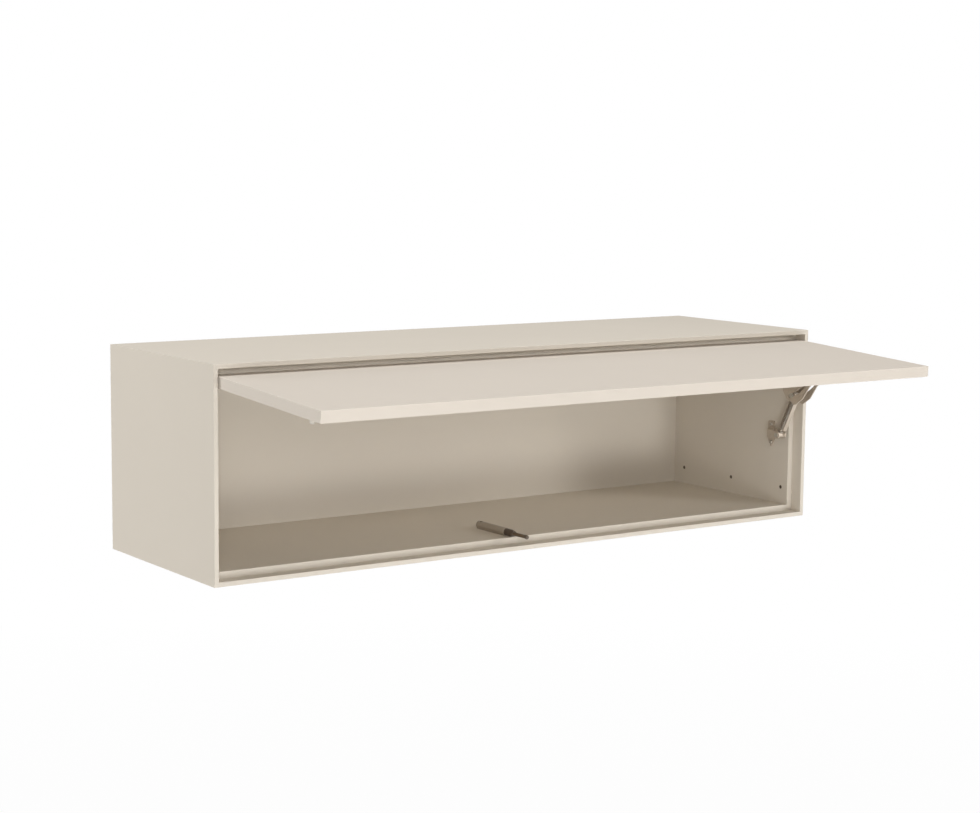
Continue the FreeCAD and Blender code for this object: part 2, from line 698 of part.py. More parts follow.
pivot_pin = make_cross_pin("stay_pivot_pin", S["channel_width"] / 2 + S["fork_gap"] + S["fork_cheek"])
keep(place(pivot_pin, stay_x, pivot_y, pivot_z, ALONG_X), "stay_pivot_pin")
roller = make_cross_pin("stay_roller", S["channel_width"] / 2 + S["fan_gap"] + S["fan_cheek"]
                        + S["roller_play"])
roller_y, roller_z = turned_with_arm(S["arm_length"])
keep(place(roller, stay_x, pivot_y + roller_y, pivot_z + roller_z, ALONG_X), "stay_roller")

OUTWARD = {"left": Rotation(Vector(0, 1, 0), 90), "right": Rotation(Vector(0, 1, 0), -90)}
group("stay_base_screws", [make_screw("stay_base_screw", inner_side - S["stay_plate"], y, z,
                                      OUTWARD["right"]) for y, z in stay_screw_spots])
drill(right_panel, "YZ_Plane", inner_side, stay_screw_spots, S["screw_length"], True)
on_flap(group("stay_fan_screws", [
    make_screw("stay_fan_screw", x, flap_back + S["fan_foot"], z, POINT_FORWARD)
    for x, z in fan_screw_spots]))

# ---- push latch on the floor, behind the flap's lower edge ----

latch_x = -S["latch_offset"]
latch_z = S["board"] + S["barrel_radius"]
barrel_front = front + S["flap_board"] + S["latch_fit"] + S["collar_length"]
FORWARD = Rotation(Vector(1, 0, 0), 90)
latch_screw_y = barrel_front + S["barrel_length"] - S["latch_screw_inset"]


def make_latch_housing():
    """Blind barrel with a flat keel on the floor and a screw seat at its rear end."""
    housing = new_body("latch_housing")
    outer, length, bevel = S["barrel_radius"], S["barrel_length"], S["barrel_chamfer"]
    inner, closed = S["barrel_bore"], S["barrel_solid"] - S["barrel_length"]
    revolve(housing, [(ZERO, -length), (outer - bevel, -length), (outer, bevel - length),
                      (outer, -bevel), (outer - bevel, ZERO), (inner, ZERO), (inner, closed),
                      (ZERO, closed)])
    keel = new_sketch(housing, "XY_Plane", -length)
    add_rectangle(keel, -S["keel_half"], -outer, S["keel_half"], S["keel_height"] - outer)
    pad(housing, keel, length)
    height = S["latch_screw_inset"] - length
    seat = new_sketch(housing, "XZ_Plane", -S["latch_screw_seat"])
    add_circle(seat, ZERO, height, S["screw_head_radius"] + S["screw_fit"])
    pocket(housing, seat, outer)
    hole = new_sketch(housing, "XZ_Plane", -outer)
    add_circle(hole, ZERO, height, S["screw_radius"] + S["screw_fit"])
    pocket(housing, hole, outer * 2, reverse=True)
    place(housing, latch_x, barrel_front, latch_z, FORWARD)
    return keep(housing, housing.Name)


def make_latch_turning(name, points, slide=ZERO):
    """A turned piece of the latch, given as (radius, distance ahead of the barrel's mouth)."""
    piece = new_body(name)
    revolve(piece, points)
    place(piece, latch_x, barrel_front - slide, latch_z, FORWARD)
    return keep(piece, name)


make_latch_housing()
rod_bore = S["rod_radius"] + S["rod_fit"]
spigot = S["barrel_bore"] - S["spigot_fit"]
tip_bore = S["tip_radius"] + S["tip_fit"]
tip_seat = S["collar_length"] - S["tip_length"] - S["tip_fit"]
make_latch_turning("latch_collar", [
    (rod_bore, -S["collar_spigot"]), (spigot, -S["collar_spigot"]), (spigot, ZERO),
    (S["collar_radius"], ZERO), (S["collar_radius"], S["collar_length"] - S["collar_taper"]),
    (S["collar_nose"], S["collar_length"]), (tip_bore, S["collar_length"]), (tip_bore, tip_seat),
    (rod_bore, tip_seat)])
guide_front = -S["collar_spigot"] - S["rod_guide_gap"]
rod_end = S["collar_length"] + S["rod_out"]
tip_end = rod_end + S["tip_length"]
make_latch_turning("latch_rod", [
    (ZERO, guide_front - S["rod_guide"]), (S["rod_guide_radius"], guide_front - S["rod_guide"]),
    (S["rod_guide_radius"], guide_front), (S["rod_radius"], guide_front), (S["rod_radius"], rod_end),
    (ZERO, rod_end)])
make_latch_turning("latch_tip", [
    (ZERO, rod_end), (S["tip_radius"], rod_end), (S["tip_radius"], tip_end - S["tip_bevel"]),
    (S["tip_face"], tip_end), (ZERO, tip_end)])
latch_screw = make_screw("latch_screw", latch_x, latch_screw_y, latch_z + S["latch_screw_seat"],
                         Rotation(), S["latch_screw_length"])
keep(latch_screw, "latch_screw")
drill(bottom_panel, "XY_Plane", S["board"], [(latch_x, latch_screw_y)],
      S["latch_screw_length"] - S["latch_screw_seat"] - S["barrel_radius"] + S["screw_fit"], False)

strike_z = latch_z - pin_z
strike_disc = doc.addObject("Part::Cylinder", "strike_disc")
bind(strike_disc, "Radius", S["strike_radius"])
bind(strike_disc, "Height", S["strike_plate"])
place(strike_disc, latch_x, flap_back, strike_z, Rotation(Vector(1, 0, 0), 90))
on_flap(group("latch_strike", [strike_disc]))

# ---- flap ----


def make_flap():
    """Flap board, drawn closed about the hinge pin, with its cups, wings and strike let in."""
    flap = new_body("flap_panel")
    top, bottom = S["pin_drop"], S["pin_drop"] - flap_length
    section = new_sketch(flap, "YZ_Plane")
    add_polygon(section, [(-S["pin_inset"], bottom), (-S["pin_inset"], top),
                          (flap_back - S["flap_chamfer"], top), (flap_back, top - S["flap_chamfer"]),
                          (flap_back, bottom)])
    pad(flap, section, flap_half * 2, middle=True)
    fillet_edges(flap, S["flap_round"], lambda edge: edge.BoundBox.YLength < HAIR
                 and abs(edge.BoundBox.YMin + S["pin_inset"].value) < HAIR)
    centre = -S["cup_offset"]
    cups = new_sketch(flap, "XZ_Plane", -flap_back)
    wings = new_sketch(flap, "XZ_Plane", -flap_back)
    for x in hinge_spots.values():
        add_circle(cups, x, centre, S["cup_radius"] + S["cup_fit"])
        add_rectangle(wings, x - S["wing_length"] / 2 - S["cup_fit"],
                      centre - S["wing_width"] / 2 - S["cup_fit"],
                      x + S["wing_length"] / 2 + S["cup_fit"],
                      centre + S["wing_width"] / 2 + S["cup_fit"])
    pocket(flap, cups, S["cup_depth"], reverse=True)
    pocket(flap, wings, S["wing_plate"], reverse=True)
    drill(flap, "XZ_Plane", -flap_back, [(latch_x, strike_z)], S["strike_plate"], True,
          S["strike_radius"] + S["cup_fit"])
    drill(flap, "XZ_Plane", -flap_back, wing_spots + fan_screw_spots, S["screw_length"], True)
    on_flap(flap)
    return keep(flap, flap.Name)


make_flap()

bumper_x = (inner_side + flap_half) / 2
bumper_z = S["pin_drop"] - flap_length + S["bumper_inset"]
bumper_length = S["rebate"] - S["flap_board"] - S["bumper_gap"]


def make_bumper(side, way):
    """Soft stop with a rounded end, stuck to the flap where it meets the casing's step."""
    bumper = new_body(f"bumper_{side}")
    radius, dome = S["bumper_radius"], S["bumper_dome"]
    revolve(bumper, [(ZERO, ZERO), (radius, ZERO), (radius, bumper_length - dome),
                     (radius - dome, bumper_length), (ZERO, bumper_length)])
    return place(bumper, way * bumper_x, flap_back, bumper_z, POINT_FORWARD)


on_flap(group("flap_bumpers", [make_bumper(side, way) for side, way in sides.items()]))

# ---- joining screws in the side boards ----


def make_side_screw(side, way, y):
    """Low screw set flush into a side board, for joining the cabinet to its neighbour."""
    screw = new_body(f"side_screw_{side}")
    radius, length = S["side_screw_radius"], S["side_screw_length"]
    revolve(screw, [(ZERO, ZERO), (radius, ZERO), (radius, radius - length), (ZERO, -length)])
    return place(screw, way * inner_side, y, side_screw_z, OUTWARD[side])


group("side_screws", [make_side_screw(side, way, y) for side, way in sides.items()
                      for y in side_screw_spots])

# ---- wall hangers in the upper rear corners ----

peg_spots = [(back_face - S["hanger_length"] / 2,
              hanger_top - S["hanger_height"] / 2 + way * S["peg_pitch"] / 2) for way in (-1, 1)]


def make_hanger(side, way):
    """Hanger box on two pegs in the side board, with a slit for the hook and two adjuster wells."""
    box = new_body(f"hanger_box_{side}")
    outer = way * inner_side
    inward = way > 0
    shell = new_sketch(box, "YZ_Plane", outer)
    add_rectangle(shell, back_face - S["hanger_length"], hanger_top - S["hanger_height"], back_face,
                  hanger_top)
    pad(box, shell, S["hanger_width"], reverse=inward)
    fillet_edges(box, S["hanger_wall"], lambda edge: any(
        across(edge, back_face - S["hanger_length"], z)
        for z in (hanger_top, hanger_top - S["hanger_height"])))
    pegs = new_sketch(box, "YZ_Plane", outer)
    for y, z in peg_spots:
        add_circle(pegs, y, z, S["peg_radius"])
    pad(box, pegs, S["peg_length"], reverse=not inward)
    slit = new_sketch(box, "XZ_Plane", -back_face)
    half = S["hook_width"] / 2 + S["hook_fit"]
    centre = way * (inner_side - S["hanger_width"] / 2)
    add_rectangle(slit, centre - half, hook_z - S["hook_fit"], centre + half, hook_z + S["hook_plate"])
    pocket(box, slit, S["hanger_length"] - S["hanger_wall"], reverse=True)
    wells = new_sketch(box, "XZ_Plane", S["hanger_length"] - back_face)
    for step_down in (0, 1):
        add_circle(wells, centre, hanger_top - (S["hanger_height"] - S["adjuster_pitch"]) / 2
                   - step_down * S["adjuster_pitch"], S["adjuster_radius"])
    pocket(box, wells, S["adjuster_depth"])
    drill(left_panel if way < 0 else right_panel, "YZ_Plane", outer, peg_spots,
          S["peg_length"] + S["screw_fit"], inward, S["peg_radius"] + S["screw_fit"])
    return keep(box, box.Name)


def make_hook(side, way):
    """Steel strip that passes through the back and turns down behind it to catch a wall rail."""
    hook = new_body(f"hanger_hook_{side}")
    section = new_sketch(hook, "YZ_Plane", way * (inner_side - S["hanger_width"] / 2))
    inside = back_face - S["hanger_length"] + S["hanger_wall"]
    outside = -S["hook_wall_gap"]
    add_polygon(section, [(inside, hook_z), (inside, hook_z + S["hook_plate"]),
                          (outside, hook_z + S["hook_plate"]), (outside, hook_z - S["hook_drop"]),
                          (outside - S["hook_plate"], hook_z - S["hook_drop"]),
                          (outside - S["hook_plate"], hook_z)])
    pad(hook, section, S["hook_width"], middle=True)
    return keep(hook, hook.Name)


for side, way in sides.items():
    make_hanger(side, way)
    make_hook(side, way)

# ---- check every object and write the pieces ----

doc.recompute()
for thing in doc.Objects:
    if "Invalid" in thing.State or "Error" in thing.State:
        raise RuntimeError(f"{thing.Label} failed: {thing.State}")
os.makedirs("parts", exist_ok=True)
for thing in parts:
    shape = thing.Shape
    if shape.isNull() or not shape.isValid() or not shape.Solids:
        raise RuntimeError(f"{thing.Label} has no valid shape")
    shape.exportStep(f"parts/{thing.Label}.step")
    print(f"{thing.Label}: {len(shape.Solids)} solids, {shape.Volume:.0f} mm3")
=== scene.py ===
import math

import bmesh
import bpy
from mathutils import Matrix, Vector


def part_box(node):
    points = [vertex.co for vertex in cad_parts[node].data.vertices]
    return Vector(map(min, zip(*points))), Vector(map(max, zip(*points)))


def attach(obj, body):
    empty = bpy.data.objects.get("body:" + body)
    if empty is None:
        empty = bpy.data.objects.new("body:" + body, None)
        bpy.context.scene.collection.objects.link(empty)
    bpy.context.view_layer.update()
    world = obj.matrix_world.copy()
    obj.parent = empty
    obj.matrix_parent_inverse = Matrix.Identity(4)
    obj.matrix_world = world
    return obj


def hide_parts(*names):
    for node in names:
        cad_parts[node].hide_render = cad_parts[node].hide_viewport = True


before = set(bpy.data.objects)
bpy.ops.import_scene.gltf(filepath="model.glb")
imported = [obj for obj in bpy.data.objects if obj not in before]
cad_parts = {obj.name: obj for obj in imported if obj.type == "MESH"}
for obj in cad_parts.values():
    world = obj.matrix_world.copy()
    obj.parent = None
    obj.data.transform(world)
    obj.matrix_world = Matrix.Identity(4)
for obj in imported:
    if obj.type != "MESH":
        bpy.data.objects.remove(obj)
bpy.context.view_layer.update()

# ---- room ----
# The cabinet hangs at its usual height over a pale floor. Floor and air are white where they are
# looked at, mirrored or seen through glass, and a soft even grey as light.

HANGING_HEIGHT = 1.4
FLOOR_SIZE = 14.0
FLOOR_COLOUR = (0.86, 0.86, 0.85, 1)
FLOOR_WHITENESS = 0.95
FLOOR_FADE = (1.2, 5.5)
ROOM_LIGHT = 0.06
ROOM_COLOUR = (1.0, 0.985, 0.96, 1)
WHITE = (1, 1, 1, 1)


def add_node(tree, kind, **values):
    """Adds a node with some of its inputs set by name; an underscore stands for a space."""
    made = tree.nodes.new(kind)
    for name, value in values.items():
        made.inputs[name.replace("_", " ")].default_value = value
    return made


def combine(tree, operation, first, second):
    """The result of a Math node on two outputs."""
    made = tree.nodes.new("ShaderNodeMath")
    made.operation = operation
    tree.links.new(first, made.inputs[0])
    tree.links.new(second, made.inputs[1])
    return made.outputs[0]


def ranged(tree, value, given, wanted):
    """Maps a value from the given range to the wanted one and holds it there."""
    made = add_node(tree, "ShaderNodeMapRange", From_Min=given[0], From_Max=given[1],
                    To_Min=wanted[0], To_Max=wanted[1])
    tree.links.new(value, made.inputs["Value"])
    return made.outputs["Result"]


def mixed(tree, share, first, second):
    """A shader that goes from the first to the second as the share goes from nought to one."""
    made = tree.nodes.new("ShaderNodeMixShader")
    tree.links.new(share, made.inputs["Fac"])
    tree.links.new(first.outputs[0], made.inputs[1])
    tree.links.new(second.outputs[0], made.inputs[2])
    return made


def seen_or_mirrored(tree):
    """One for rays from the camera, from gloss and through glass, else nought."""
    path = tree.nodes.new("ShaderNodeLightPath").outputs
    either = combine(tree, "MAXIMUM", path["Is Camera Ray"], path["Is Glossy Ray"])
    return combine(tree, "MAXIMUM", either, path["Is Transmission Ray"])


def finished_object(name, shape):
    """Turns a bmesh into an object at the origin."""
    mesh = bpy.data.meshes.new(name)
    shape.to_mesh(mesh)
    shape.free()
    made = bpy.data.objects.new(name, mesh)
    bpy.context.scene.collection.objects.link(made)
    return made


air = bpy.data.worlds.new("studio_air")
bpy.context.scene.world = air
air.use_nodes = True
air_tree = air.node_tree
air_tree.nodes.clear()
as_light = add_node(air_tree, "ShaderNodeBackground", Color=ROOM_COLOUR, Strength=ROOM_LIGHT)
as_backdrop = add_node(air_tree, "ShaderNodeBackground", Color=WHITE, Strength=1.0)
air_shader = mixed(air_tree, seen_or_mirrored(air_tree), as_light, as_backdrop)
air_out = air_tree.nodes.new("ShaderNodeOutputWorld")
air_tree.links.new(air_shader.outputs[0], air_out.inputs["Surface"])

floor_shape = bmesh.new()
bmesh.ops.create_grid(floor_shape, x_segments=1, y_segments=1, size=FLOOR_SIZE / 2)
bmesh.ops.translate(floor_shape, verts=floor_shape.verts, vec=(0, 0, -HANGING_HEIGHT))
floor = finished_object("floor", floor_shape)
floor_paint = bpy.data.materials.new("floor_paint")
floor_paint.use_nodes = True
paint_tree = floor_paint.node_tree
paint_tree.nodes.clear()
matt = add_node(paint_tree, "ShaderNodeBsdfDiffuse", Color=FLOOR_COLOUR)
glow = add_node(paint_tree, "ShaderNodeEmission", Color=WHITE, Strength=1.0)
floor_place = paint_tree.nodes.new("ShaderNodeTexCoord")
from_middle = paint_tree.nodes.new("ShaderNodeVectorMath")
from_middle.operation = "LENGTH"
paint_tree.links.new(floor_place.outputs["Object"], from_middle.inputs[0])
whiteness = ranged(paint_tree, from_middle.outputs["Value"], FLOOR_FADE, (FLOOR_WHITENESS, 1.0))
glow_share = combine(paint_tree, "MULTIPLY", seen_or_mirrored(paint_tree), whiteness)
upper_side = mixed(paint_tree, glow_share, matt, glow)
# the underside is clear, so that the cabinet can be looked at from below
clear = paint_tree.nodes.new("ShaderNodeBsdfTransparent")
from_below = paint_tree.nodes.new("ShaderNodeNewGeometry")
one_sided = mixed(paint_tree, from_below.outputs["Backfacing"], upper_side, clear)
floor_out = paint_tree.nodes.new("ShaderNodeOutputMaterial")
paint_tree.links.new(one_sided.outputs[0], floor_out.inputs["Surface"])
floor.data.materials.append(floor_paint)

# ---- lamps and camera ----
# Six soft boxes: a low key from the right front, a fill from the left front, two near the floor
# that reach in under the flap, one from the left rear for the casing's side, and one overhead.

LAMP_TARGET = Vector((0, -0.25, 0.2))


def soft_box(name, azimuth, elevation, distance, size, power):
    """A round area lamp that stands off from the middle of the cabinet and looks at it."""
    lamp = bpy.data.lights.new(name, "AREA")
    lamp.shape = "DISK"
    lamp.size = size
    lamp.energy = power
    holder = bpy.data.objects.new(name, lamp)
    turn, rise = math.radians(azimuth), math.radians(elevation)
    away = Vector((math.sin(turn) * math.cos(rise), -math.cos(turn) * math.cos(rise), math.sin(rise)))
    holder.location = LAMP_TARGET + away * distance
    holder.rotation_euler = (-away).to_track_quat("-Z", "Y").to_euler()
    bpy.context.scene.collection.objects.link(holder)


soft_box("key_box", azimuth=42, elevation=12, distance=5.0, size=1.4, power=70)
soft_box("fill_box", azimuth=-30, elevation=12, distance=5.0, size=2.4, power=67)
soft_box("low_box_left", azimuth=-30, elevation=-12, distance=5.0, size=1.1, power=38)
soft_box("low_box_right", azimuth=12, elevation=-12, distance=5.0, size=1.1, power=50)
soft_box("side_box", azimuth=-120, elevation=12, distance=4.5, size=1.6, power=96)
soft_box("top_box", azimuth=-10, elevation=80, distance=4.0, size=2.6, power=118)

CAMERA_PLACE = Vector((-2.0327, -3.1095, 0.6644))
CAMERA_LOOK = Vector((0.549573, 0.825715, -0.127135))
CAMERA_RIGHT = Vector((0.832987, -0.55324, 0.007619))
CAMERA_UP = CAMERA_RIGHT.cross(CAMERA_LOOK)
camera = bpy.data.cameras.new("camera")
camera.sensor_width = 36
camera.lens = 76.8
camera.shift_x = 0.055
camera.shift_y = 0.0057
camera.clip_start = 0.05
camera_holder = bpy.data.objects.new("camera", camera)
camera_turn = Matrix((CAMERA_RIGHT, CAMERA_UP, -CAMERA_LOOK)).transposed().to_4x4()
camera_holder.matrix_world = Matrix.Translation(CAMERA_PLACE) @ camera_turn
bpy.context.scene.collection.objects.link(camera_holder)
bpy.context.scene.camera = camera_holder
bpy.context.scene.view_settings.view_transform = "Standard"

# ---- casing: four mitred boards and the back ----
# Wood board, mitred and glued at the corners, under a matt taupe lacquer. It is sprayed, so it has
# a faint peel and a slow drift of tone, and its edges carry a paler colour as a painted highlight.

CASING_COLOUR = (0.675, 0.618, 0.536, 1)
# painted highlight: the paler colour given to the lacquer's edges
EDGE_HIGHLIGHT_COLOUR = (0.78, 0.73, 0.66, 1)
EDGE_RADIUS = 0.0009
LACQUER_GLOSS = 0.12
LACQUER_RELIEF = 0.00002
RELIEF_STRENGTH = 0.6
NOISE_SPAN = (0.3, 0.7)
# a Mix node's sockets for two colours and their mix
FIRST_COLOUR, SECOND_COLOUR, MIXED_COLOUR = 6, 7, 2


def surface_group(name, settings):
    """Starts a surface's node group; gives it, its inputs, its results and the place."""
    group = bpy.data.node_groups.new(name, "ShaderNodeTree")
    results = {"Colour": "Color", "Roughness": "Float", "Height": "Float"}
    for sockets, way in ((settings, "INPUT"), (results, "OUTPUT")):
        for socket, kind in sockets.items():
            group.interface.new_socket(name=socket, in_out=way, socket_type="NodeSocket" + kind)
    given = group.nodes.new("NodeGroupInput").outputs
    result = group.nodes.new("NodeGroupOutput").inputs
    return group, given, result, group.nodes.new("ShaderNodeTexCoord").outputs["Object"]


def noise(tree, place, **values):
    """A cloudy pattern, fixed to the piece."""
    texture = add_node(tree, "ShaderNodeTexNoise", **values)
    tree.links.new(place, texture.inputs["Vector"])
    return texture.outputs["Fac"]


def toned(tree, colour, pattern, span):
    """A colour that is made lighter and darker by a pattern, within a span of factors."""
    scaled = tree.nodes.new("ShaderNodeVectorMath")
    scaled.operation = "SCALE"
    tree.links.new(colour, scaled.inputs[0])
    tree.links.new(ranged(tree, pattern, NOISE_SPAN, span), scaled.inputs["Scale"])
    return scaled.outputs["Vector"]


def film_group():
    """Sprayed film: colour drift, a painted highlight along the edges, fine peel and a slightly
    uneven sheen.
    """
    group, given, result, place = surface_group(
        "sprayed_film", {"Colour": "Color", "Peel": "Float", "Sheen": "Float"})
    link = group.links.new
    drift = noise(group, place, Scale=2.6, Detail=3.0, Roughness=0.55)
    peel = noise(group, place, Scale=850.0, Detail=2.0, Roughness=0.45)
    cloud = noise(group, place, Scale=24.0, Detail=4.0, Roughness=0.6)
    # painted highlight along the edges: a paler colour where the rounded normal leaves the flat one
    rounded = add_node(group, "ShaderNodeBevel", Radius=EDGE_RADIUS)
    flat = group.nodes.new("ShaderNodeNewGeometry")
    agreement = group.nodes.new("ShaderNodeVectorMath")
    agreement.operation = "DOT_PRODUCT"
    link(rounded.outputs["Normal"], agreement.inputs[0])
    link(flat.outputs["Normal"], agreement.inputs[1])
    film = group.nodes.new("ShaderNodeMix")
    film.data_type = "RGBA"
    link(ranged(group, agreement.outputs["Value"], (0.999, 0.8), (0.0, 0.35)), film.inputs["Factor"])
    link(toned(group, given["Colour"], drift, (0.985, 1.012)), film.inputs[FIRST_COLOUR])
    film.inputs[SECOND_COLOUR].default_value = EDGE_HIGHLIGHT_COLOUR
    link(film.outputs[MIXED_COLOUR], result["Colour"])
    uneven = ranged(group, cloud, NOISE_SPAN, (-0.04, 0.05))
    link(combine(group, "ADD", uneven, given["Sheen"]), result["Roughness"])
    link(combine(group, "MULTIPLY", peel, given["Peel"]), result["Height"])
    return group


def coated(name, group, settings, metallic=0.0, bump=0.0001, gloss=0.5):
    """A material whose colour, roughness and bump come from one of the surface groups."""
    made = bpy.data.materials.new(name)
    made.use_nodes = True
    tree = made.node_tree
    skin = tree.nodes["Principled BSDF"]
    skin.inputs["Metallic"].default_value = metallic
    skin.inputs["Specular IOR Level"].default_value = gloss
    surface = tree.nodes.new("ShaderNodeGroup")
    surface.node_tree = group
    for socket, value in settings.items():
        surface.inputs[socket].default_value = value
    relief = add_node(tree, "ShaderNodeBump", Strength=RELIEF_STRENGTH, Distance=bump)
    tree.links.new(surface.outputs["Colour"], skin.inputs["Base Color"])
    tree.links.new(surface.outputs["Roughness"], skin.inputs["Roughness"])
    tree.links.new(surface.outputs["Height"], relief.inputs["Height"])
    tree.links.new(relief.outputs["Normal"], skin.inputs["Normal"])
    return made


def dress(material, *names):
    """Gives a material to CAD nodes or to new pieces."""
    for name in names:
        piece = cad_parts.get(name) or bpy.data.objects[name]
        piece.data.materials.clear()
        piece.data.materials.append(material)


sprayed_film = film_group()
casing_lacquer = coated("casing_lacquer", sprayed_film,
                        {"Colour": CASING_COLOUR, "Peel": 1.0, "Sheen": 0.82},
                        bump=LACQUER_RELIEF, gloss=LACQUER_GLOSS)
dress(casing_lacquer, "top_panel", "bottom_panel", "left_panel", "right_panel", "back_panel")

# ---- flap ----
# The same board under the same lacquer. Its face was sprayed on its own, so its tone is a touch
# different and drifts in its own way.

FLAP_COLOUR = (0.665, 0.603, 0.53, 1)
flap_lacquer = coated("flap_lacquer", sprayed_film,
                      {"Colour": FLAP_COLOUR, "Peel": 1.1, "Sheen": 0.8},
                      bump=LACQUER_RELIEF, gloss=LACQUER_GLOSS)
dress(flap_lacquer, "flap_panel")

# ---- hinges, pins, strike and hanger hooks ----
# Pressed and turned steel, nickel plated: fine drawing lines from the press under a cloudy plating.
# Cups and arms are screwed on, the pins are pressed in.


def drawn_group():
    """Drawn or brushed metal: stretched lines across a cloudy tone."""
    group, given, result, place = surface_group(
        "drawn_metal", {"Colour": "Color", "Dullness": "Float", "Lines": "Float",
                        "Fineness": "Vector"})
    link = group.links.new
    stretch = group.nodes.new("ShaderNodeMapping")
    link(place, stretch.inputs["Vector"])
    link(given["Fineness"], stretch.inputs["Scale"])
    lines = noise(group, stretch.outputs["Vector"], Scale=1.0, Detail=3.0, Roughness=0.6)
    cloud = noise(group, place, Scale=110.0, Detail=4.0, Roughness=0.65)
    link(toned(group, given["Colour"], cloud, (0.93, 1.05)), result["Colour"])
    spread = ranged(group, lines, NOISE_SPAN, (-0.06, 0.1))
    link(combine(group, "ADD", spread, given["Dullness"]), result["Roughness"])
    link(combine(group, "MULTIPLY", lines, given["Lines"]), result["Height"])
    return group


ROLLED_ALONG_Z = (1500, 1500, 160)
ROLLED_ALONG_X = (160, 1500, 1500)
TURNED_ABOUT_Y = (160, 2600, 160)
PRESS_RELIEF = 0.00002
TURNED_RELIEF = 0.00001
drawn_metal = drawn_group()
plated_steel = coated("plated_steel", drawn_metal,
                      {"Colour": (0.62, 0.6, 0.57, 1), "Dullness": 0.3, "Lines": 0.6,
                       "Fineness": ROLLED_ALONG_X},
                      metallic=1.0, bump=PRESS_RELIEF)
dress(plated_steel, "hinge_arm_left", "hinge_arm_centre", "hinge_arm_right", "hinge_cup_left",
      "hinge_cup_centre", "hinge_cup_right", "latch_strike", "hanger_hook_left", "hanger_hook_right")
pin_steel = coated("pin_steel", drawn_metal,
                   {"Colour": (0.56, 0.54, 0.5, 1), "Dullness": 0.34, "Lines": 0.3,
                    "Fineness": ROLLED_ALONG_X},
                   metallic=1.0, bump=TURNED_RELIEF)
dress(pin_steel, "hinge_pins", "stay_pivot_pin", "stay_roller")

# ---- stay ----
# A screw plate with a fork, a channel arm and a slotted fan, all pressed from grey plated steel.
# A coil of round spring wire lies in the channel between the arm's two bosses.

stay_steel = coated("stay_steel", drawn_metal,
                    {"Colour": (0.56, 0.485, 0.4, 1), "Dullness": 0.48, "Lines": 0.8,
                     "Fineness": ROLLED_ALONG_Z},
                    metallic=0.55, bump=PRESS_RELIEF)
dress(stay_steel, "stay_base", "stay_arm", "stay_fan")

COIL_RADIUS = 0.0036
WIRE_RADIUS = 0.00075
WIRE_SIDES = 10
COIL_TURNS = 22
STEPS_PER_TURN = 20
COIL_STEPS = COIL_TURNS * STEPS_PER_TURN
BOSS_RADIUS = 0.0055


def middle_of(node):
    """The middle of a CAD node's box."""
    low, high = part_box(node)
    return (low + high) / 2


lower_pin = middle_of("stay_pivot_pin")
upper_pin = middle_of("stay_roller")
along_arm = (upper_pin - lower_pin).normalized()
clear_of_boss = BOSS_RADIUS + WIRE_RADIUS
coil_length = (upper_pin - lower_pin).length - 2 * clear_of_boss
coil = bmesh.new()
wire = bmesh.ops.create_circle(coil, segments=WIRE_SIDES, radius=WIRE_RADIUS)["verts"]
bmesh.ops.rotate(coil, verts=wire, matrix=Matrix.Rotation(math.radians(90), 3, "X"))
bmesh.ops.translate(coil, verts=wire, vec=(COIL_RADIUS, 0, 0))
bmesh.ops.spin(coil, geom=wire[:] + coil.edges[:], cent=(0, 0, 0), axis=(0, 0, 1),
               dvec=(0, 0, coil_length / COIL_STEPS), angle=2 * math.pi * COIL_TURNS,
               steps=COIL_STEPS)
bmesh.ops.holes_fill(coil, edges=coil.edges, sides=0)
bmesh.ops.recalc_face_normals(coil, faces=coil.faces)
for face in coil.faces:
    face.smooth = True
coil_turn = along_arm.to_track_quat("Z", "X").to_matrix().to_4x4()
coil_start = lower_pin + along_arm * clear_of_boss
bmesh.ops.transform(coil, matrix=Matrix.Translation(coil_start) @ coil_turn, verts=coil.verts)
stay_coil = finished_object("stay_coil", coil)
spring_steel = coated("spring_steel", drawn_metal,
                      {"Colour": (0.6, 0.55, 0.48, 1), "Dullness": 0.38, "Lines": 0.4,
                       "Fineness": ROLLED_ALONG_Z},
                      metallic=1.0, bump=TURNED_RELIEF)
dress(spring_steel, "stay_coil")
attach(stay_coil, "stay_arm")
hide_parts("stay_spring")

# ---- screws ----
# Cold-headed pan-head screws with a cross recess, plated or dark oxide, driven into the boards.
# Each takes its place and its length from the solid that it stands for.

FLAP_RAISED = math.radians(86.5)
UNDER_FLAP = Vector((0, math.cos(FLAP_RAISED), -math.sin(FLAP_RAISED)))
SCREW_SIDES = 32
# radii as shares of the head's, and heights as shares of its rise
FLAT_RADIUS, BEND_RADIUS, POINT_RADIUS = 0.72, 0.9, 0.05
BEND_DEPTH, RIM_DEPTH = 0.25, 0.6
CROSS_REACH, CROSS_HALF_WIDTH = 0.62, 0.1
CROSS_DEPTH, CROSS_TAPER = 0.75, 0.75
ROUNDED_FROM = 0.6


def solids_of(node):
    """The separate solids of a CAD node, each as a list of its points."""
    shape = bmesh.new()
    shape.from_mesh(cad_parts[node].data)
    bmesh.ops.remove_doubles(shape, verts=shape.verts, dist=1e-6)
    left = set(shape.verts)
    solids = []
    while left:
        reached = [left.pop()]
        for point in reached:
            for edge in point.link_edges:
                other = edge.other_vert(point)
                if other in left:
                    left.remove(other)
                    reached.append(other)
        solids.append([point.co.copy() for point in reached])
    shape.free()
    return solids


def drawn_on(shape, edges):
    """Extrudes a ring of edges; gives the new ring's points and edges."""
    made = bmesh.ops.extrude_edge_only(shape, edges=edges)["geom"]
    points = [item for item in made if isinstance(item, bmesh.types.BMVert)]
    ring = [item for item in made if isinstance(item, bmesh.types.BMEdge)
            and all(end in points for end in item.verts)]
    return points, ring


